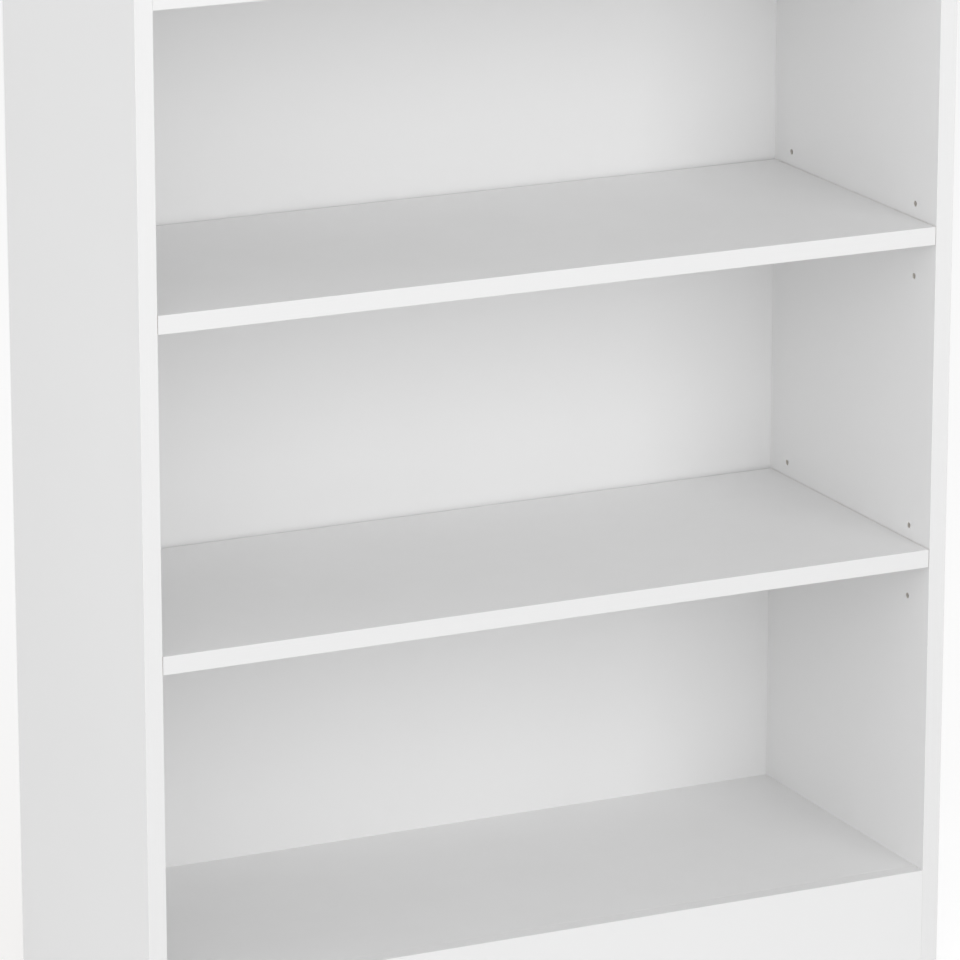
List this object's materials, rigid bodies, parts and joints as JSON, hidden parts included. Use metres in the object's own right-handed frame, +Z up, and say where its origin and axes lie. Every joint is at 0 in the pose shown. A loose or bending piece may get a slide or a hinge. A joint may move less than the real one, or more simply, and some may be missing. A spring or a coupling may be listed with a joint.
{
  "type": "bookcase",
  "caption": "Low open bookcase of white laminated boards with a fixed bottom, a plinth, a thin back sheet and adjustable shelves resting on pins.",
  "frame": {"origin": "on the floor under the middle of the case", "axes": "+Z up, the open front faces -Y, +X to the right as seen from the front"},
  "size_m": [0.752, 0.296, 0.945],
  "materials": {
    "white_laminate": "white melamine-faced particleboard, fine orange-peel, satin",
    "white_edging": "white edging strip, smooth satin",
    "white_hardboard": "thin hardboard, white-painted front, bare brown rear",
    "zinc": "die-cast zinc",
    "plated_steel": "bright zinc-plated steel",
    "beech": "bare beech dowel",
    "white_plastic": "moulded white plastic"
  },
  "bodies": {
    "carcass": {"left_side_panel": "white_laminate", "right_side_panel": "white_laminate", "top_panel": "white_laminate", "bottom_shelf": "white_laminate", "kick_plate": "white_laminate", "left_side_edging": "white_edging", "right_side_edging": "white_edging", "top_panel_edging": "white_edging", "kick_plate_edging": "white_edging", "back_panel": "white_hardboard", "top_cam_locks": "zinc", "bottom_cam_locks": "zinc", "top_cam_bolts": "plated_steel", "bottom_cam_bolts": "plated_steel", "top_dowels": "beech", "bottom_dowels": "beech", "kick_end_dowels": "beech", "kick_front_dowels": "beech", "back_nails": "plated_steel", "floor_glides": "white_plastic"},
    "upper_shelf": {"upper_shelf": "white_laminate", "upper_shelf_edging": "white_edging"},
    "lower_shelf": {"lower_shelf": "white_laminate", "lower_shelf_edging": "white_edging"},
    "upper_left_front_pin": {"upper_left_front_pin": "plated_steel"},
    "upper_left_back_pin": {"upper_left_back_pin": "plated_steel"},
    "upper_right_front_pin": {"upper_right_front_pin": "plated_steel"},
    "upper_right_back_pin": {"upper_right_back_pin": "plated_steel"},
    "lower_left_front_pin": {"lower_left_front_pin": "plated_steel"},
    "lower_left_back_pin": {"lower_left_back_pin": "plated_steel"},
    "lower_right_front_pin": {"lower_right_front_pin": "plated_steel"},
    "lower_right_back_pin": {"lower_right_back_pin": "plated_steel"}
  },
  "joints": [
    {"name": "upper_shelf_slide", "type": "slide", "parent": "carcass", "child": "upper_shelf", "axis": [0, -1, 0], "range_m": [0, 0.3]},
    {"name": "lower_shelf_slide", "type": "slide", "parent": "carcass", "child": "lower_shelf", "axis": [0, -1, 0], "range_m": [0, 0.3]},
    {"name": "upper_left_front_pin_pull", "type": "slide", "parent": "carcass", "child": "upper_left_front_pin", "axis": [1, 0, 0], "range_m": [0, 0.012]},
    {"name": "upper_left_back_pin_pull", "type": "slide", "parent": "carcass", "child": "upper_left_back_pin", "axis": [1, 0, 0], "range_m": [0, 0.012]},
    {"name": "upper_right_front_pin_pull", "type": "slide", "parent": "carcass", "child": "upper_right_front_pin", "axis": [-1, 0, 0], "range_m": [0, 0.012]},
    {"name": "upper_right_back_pin_pull", "type": "slide", "parent": "carcass", "child": "upper_right_back_pin", "axis": [-1, 0, 0], "range_m": [0, 0.012]},
    {"name": "lower_left_front_pin_pull", "type": "slide", "parent": "carcass", "child": "lower_left_front_pin", "axis": [1, 0, 0], "range_m": [0, 0.012]},
    {"name": "lower_left_back_pin_pull", "type": "slide", "parent": "carcass", "child": "lower_left_back_pin", "axis": [1, 0, 0], "range_m": [0, 0.012]},
    {"name": "lower_right_front_pin_pull", "type": "slide", "parent": "carcass", "child": "lower_right_front_pin", "axis": [-1, 0, 0], "range_m": [0, 0.012]},
    {"name": "lower_right_back_pin_pull", "type": "slide", "parent": "carcass", "child": "lower_right_back_pin", "axis": [-1, 0, 0], "range_m": [0, 0.012]}
  ]
}
